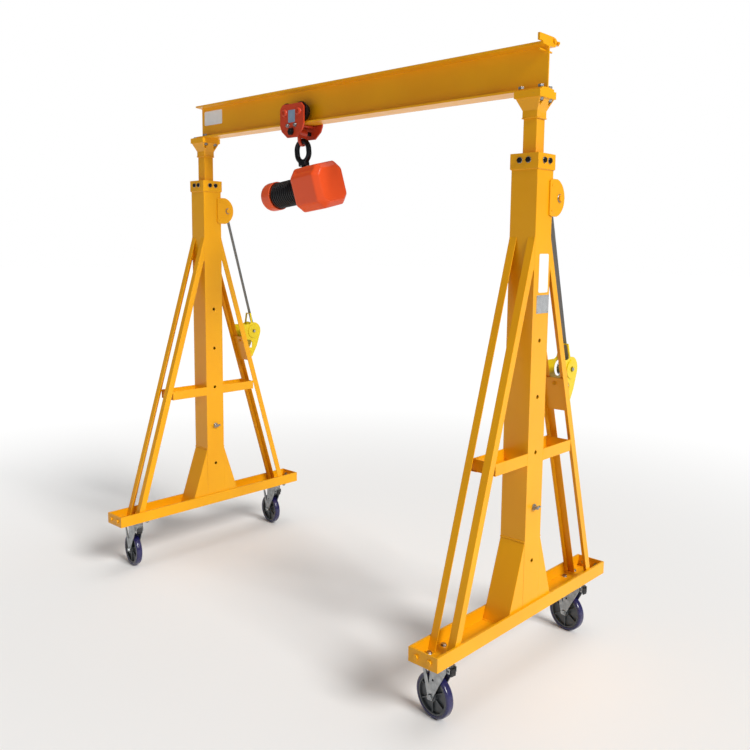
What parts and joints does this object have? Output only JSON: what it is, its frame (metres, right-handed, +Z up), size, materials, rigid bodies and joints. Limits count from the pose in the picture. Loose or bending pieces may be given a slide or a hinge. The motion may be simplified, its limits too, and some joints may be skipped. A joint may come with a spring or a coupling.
{
  "type": "portable gantry crane",
  "caption": "Height-adjustable gantry crane: I-beam on two braced A-frame legs with swivel casters, strap winches, a push trolley and a hanging electric hoist.",
  "frame": {"origin": "on the floor, in the middle of the overall length", "axes": "+X along the girder towards the end with the upright bracket, +Y towards the winches, +Z up"},
  "size_m": [2.4338, 1.3056, 2.65],
  "materials": {
    "yellow_paint": "glossy enamel on welded steel",
    "winch_yellow": "lemon-yellow powder coat",
    "red_paint": "glossy red enamel",
    "hoist_paint": "orange-red powder coat",
    "hoist_case": "orange-red powder coat on die casting",
    "motor": "black paint on a ribbed casting",
    "dark_steel": "black oxide",
    "fastener": "zinc-plated, some painted over",
    "zinc": "zinc plate",
    "wheel_hub": "moulded nylon",
    "tread": "smooth navy polyurethane",
    "pedal": "black coating",
    "webbing": "woven polyester webbing"
  },
  "bodies": {
    "left_leg": {"left_base_channel": "yellow_paint", "left_outer_column": "yellow_paint", "left_column_foot": "yellow_paint", "left_collar": "yellow_paint", "left_braces": "yellow_paint", "left_mid_frame": "yellow_paint", "left_caster_plates": "zinc", "left_bolts": "fastener", "left_pulley_housing": "yellow_paint", "left_winch_plate": "yellow_paint", "left_winch_frame": "winch_yellow", "left_strap": "webbing"},
    "right_leg": {"right_base_channel": "yellow_paint", "right_outer_column": "yellow_paint", "right_column_foot": "yellow_paint", "right_collar": "yellow_paint", "right_braces": "yellow_paint", "right_mid_frame": "yellow_paint", "right_caster_plates": "zinc", "right_bolts": "fastener", "right_pulley_housing": "yellow_paint", "right_winch_plate": "yellow_paint", "right_winch_frame": "winch_yellow", "right_strap": "webbing"},
    "girder": {"girder": "yellow_paint", "left_inner_column": "yellow_paint", "right_inner_column": "yellow_paint", "girder_bolts": "fastener", "end_bracket": "yellow_paint"},
    "left_pulley": {"left_pulley": "zinc"},
    "left_winch_drum": {"left_winch_drum": "zinc"},
    "left_lock_pin": {"left_lock_pin": "fastener"},
    "left_front_caster": {"left_front_fork": "zinc"},
    "left_front_wheel": {"left_front_wheel_hub": "wheel_hub", "left_front_tread": "tread"},
    "left_front_brake": {"left_front_brake_pedal": "pedal"},
    "left_rear_caster": {"left_rear_fork": "zinc"},
    "left_rear_wheel": {"left_rear_wheel_hub": "wheel_hub", "left_rear_tread": "tread"},
    "left_rear_brake": {"left_rear_brake_pedal": "pedal"},
    "right_pulley": {"right_pulley": "zinc"},
    "right_winch_drum": {"right_winch_drum": "zinc"},
    "right_lock_pin": {"right_lock_pin": "fastener"},
    "right_front_caster": {"right_front_fork": "zinc"},
    "right_front_wheel": {"right_front_wheel_hub": "wheel_hub", "right_front_tread": "tread"},
    "right_front_brake": {"right_front_brake_pedal": "pedal"},
    "right_rear_caster": {"right_rear_fork": "zinc"},
    "right_rear_wheel": {"right_rear_wheel_hub": "wheel_hub", "right_rear_tread": "tread"},
    "right_rear_brake": {"right_rear_brake_pedal": "pedal"},
    "trolley": {"trolley_plates": "red_paint", "load_bar": "dark_steel"},
    "trolley_wheels_left": {"trolley_wheels_left": "dark_steel"},
    "trolley_wheels_right": {"trolley_wheels_right": "dark_steel"},
    "hanger": {"hanger": "red_paint"},
    "hook": {"hook": "dark_steel"},
    "hoist": {"hoist_body": "hoist_case", "hoist_motor": "motor", "hoist_cap": "hoist_paint"}
  },
  "joints": [
    {"name": "girder_lift", "type": "slide", "parent": "left_leg", "child": "girder", "axis": [0, 0, 1], "range_m": [0, 0.699]},
    {"name": "right_leg_lift", "type": "slide", "parent": "girder", "child": "right_leg", "axis": [0, 0, -1], "range_m": [0, 0.699]},
    {"name": "left_pulley_turn", "type": "hinge", "parent": "left_leg", "child": "left_pulley", "pos_m": [-1.075, 0.106, 2.031], "axis": [1, 0, 0], "range_deg": [-1080, 0]},
    {"name": "left_winch_turn", "type": "hinge", "parent": "left_leg", "child": "left_winch_drum", "pos_m": [-1.075, 0.318, 1.302], "axis": [1, 0, 0], "range_deg": [-1600, 0]},
    {"name": "left_pin_pull", "type": "slide", "parent": "left_leg", "child": "left_lock_pin", "axis": [1, 0, 0], "range_m": [0, 0.14]},
    {"name": "left_front_swivel", "type": "hinge", "parent": "left_leg", "child": "left_front_caster", "pos_m": [-1.075, -0.511, 0.2], "axis": [0, 0, 1], "continuous": true},
    {"name": "left_front_roll", "type": "hinge", "parent": "left_front_caster", "child": "left_front_wheel", "pos_m": [-1.12451, -0.50404, 0.0915], "axis": [0.1392, 0.9903, 0], "continuous": true},
    {"name": "left_front_brake_press", "type": "hinge", "parent": "left_front_caster", "child": "left_front_brake", "pos_m": [-1.03341, -0.51684, 0.2317], "axis": [0.1392, 0.9903, 0], "range_deg": [0, 8]},
    {"name": "left_rear_swivel", "type": "hinge", "parent": "left_leg", "child": "left_rear_caster", "pos_m": [-1.075, 0.511, 0.2], "axis": [0, 0, 1], "continuous": true},
    {"name": "left_rear_roll", "type": "hinge", "parent": "left_rear_caster", "child": "left_rear_wheel", "pos_m": [-1.12451, 0.51796, 0.0915], "axis": [0.1392, 0.9903, 0], "continuous": true},
    {"name": "left_rear_brake_press", "type": "hinge", "parent": "left_rear_caster", "child": "left_rear_brake", "pos_m": [-1.03341, 0.50516, 0.2317], "axis": [0.1392, 0.9903, 0], "range_deg": [0, 8]},
    {"name": "right_pulley_turn", "type": "hinge", "parent": "right_leg", "child": "right_pulley", "pos_m": [1.135, 0.106, 2.031], "axis": [1, 0, 0], "range_deg": [-1080, 0]},
    {"name": "right_winch_turn", "type": "hinge", "parent": "right_leg", "child": "right_winch_drum", "pos_m": [1.135, 0.318, 1.302], "axis": [1, 0, 0], "range_deg": [-1600, 0]},
    {"name": "right_pin_pull", "type": "slide", "parent": "right_leg", "child": "right_lock_pin", "axis": [1, 0, 0], "range_m": [0, 0.14]},
    {"name": "right_front_swivel", "type": "hinge", "parent": "right_leg", "child": "right_front_caster", "pos_m": [1.135, -0.511, 0.2], "axis": [0, 0, 1], "continuous": true},
    {"name": "right_front_roll", "type": "hinge", "parent": "right_front_caster", "child": "right_front_wheel", "pos_m": [1.08549, -0.50404, 0.0915], "axis": [0.1392, 0.9903, 0], "continuous": true},
    {"name": "right_front_brake_press", "type": "hinge", "parent": "right_front_caster", "child": "right_front_brake", "pos_m": [1.17659, -0.51684, 0.2317], "axis": [0.1392, 0.9903, 0], "range_deg": [0, 8]},
    {"name": "right_rear_swivel", "type": "hinge", "parent": "right_leg", "child": "right_rear_caster", "pos_m": [1.135, 0.511, 0.2], "axis": [0, 0, 1], "continuous": true},
    {"name": "right_rear_roll", "type": "hinge", "parent": "right_rear_caster", "child": "right_rear_wheel", "pos_m": [1.08549, 0.51796, 0.0915], "axis": [0.1392, 0.9903, 0], "continuous": true},
    {"name": "right_rear_brake_press", "type": "hinge", "parent": "right_rear_caster", "child": "right_rear_brake", "pos_m": [1.17659, 0.50516, 0.2317], "axis": [0.1392, 0.9903, 0], "range_deg": [0, 8]},
    {"name": "trolley_travel", "type": "slide", "parent": "girder", "child": "trolley", "axis": [1, 0, 0], "range_m": [-0.36, 0.9]},
    {"name": "trolley_wheels_left_roll", "type": "hinge", "parent": "trolley", "child": "trolley_wheels_left", "pos_m": [-0.295, 0, 2.49871], "axis": [0, 1, 0], "continuous": true},
    {"name": "trolley_wheels_right_roll", "type": "hinge", "parent": "trolley", "child": "trolley_wheels_right", "pos_m": [-0.191, 0, 2.49871], "axis": [0, 1, 0], "continuous": true},
    {"name": "hanger_swing", "type": "hinge", "parent": "trolley", "child": "hanger", "pos_m": [-0.243, 0, 2.404], "axis": [0, 1, 0], "range_deg": [-25, 25]},
    {"name": "hook_swing", "type": "hinge", "parent": "hanger", "child": "hook", "pos_m": [-0.23825, 0, 2.36227], "axis": [0.9936, 0, 0.1132], "range_deg": [-15, 15]},
    {"name": "hoist_swivel", "type": "hinge", "parent": "hook", "child": "hoist", "pos_m": [-0.21991, 0, 2.20131], "axis": [-0.1132, 0, 0.9936], "continuous": true}
  ],
  "couplings": [
    {"joint": "right_leg_lift", "follows": "girder_lift", "ratio": 1},
    {"joint": "left_pulley_turn", "follows": "girder_lift", "rad_per_m": -26.81},
    {"joint": "left_winch_turn", "follows": "girder_lift", "rad_per_m": -39.526},
    {"joint": "right_pulley_turn", "follows": "girder_lift", "rad_per_m": -26.81},
    {"joint": "right_winch_turn", "follows": "girder_lift", "rad_per_m": -39.526},
    {"joint": "trolley_wheels_left_roll", "follows": "trolley_travel", "rad_per_m": 22.7},
    {"joint": "trolley_wheels_right_roll", "follows": "trolley_travel", "rad_per_m": 22.7}
  ]
}
